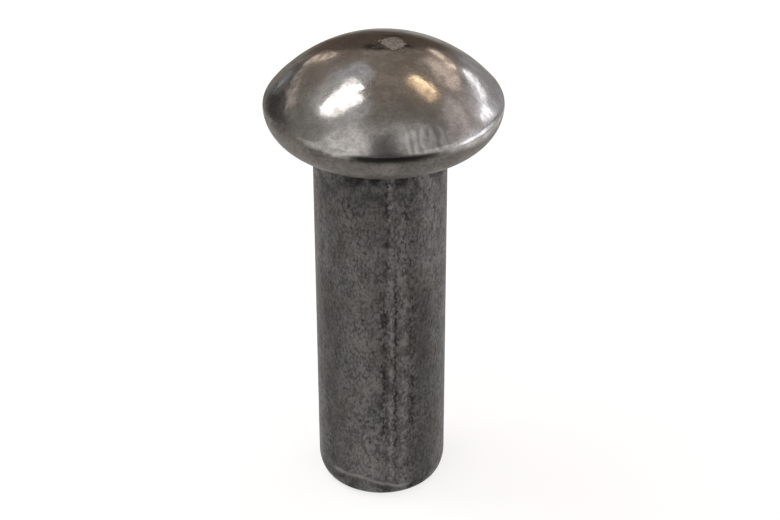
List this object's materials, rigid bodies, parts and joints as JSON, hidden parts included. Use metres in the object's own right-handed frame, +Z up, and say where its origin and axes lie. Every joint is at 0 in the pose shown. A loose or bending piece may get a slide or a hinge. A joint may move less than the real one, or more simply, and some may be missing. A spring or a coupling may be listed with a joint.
{
  "type": "solid round-head rivet",
  "caption": "Plain steel rivet in one piece: a domed round head on a straight cylindrical shank with a sheared end, set through a hole and closed over to join plates.",
  "frame": {"origin": "where the shank's axis meets the flat bearing ring under the head", "axes": "+Z up the shank's axis to the top of the head; the shank runs down -Z; the head's axis stands 0.16 mm along +X"},
  "size_m": [0.0106, 0.0106, 0.0224],
  "materials": {
    "steel": "bright struck crown, dull grey drawn shank"
  },
  "bodies": {
    "root": {"rivet": "steel"}
  },
  "joints": []
}
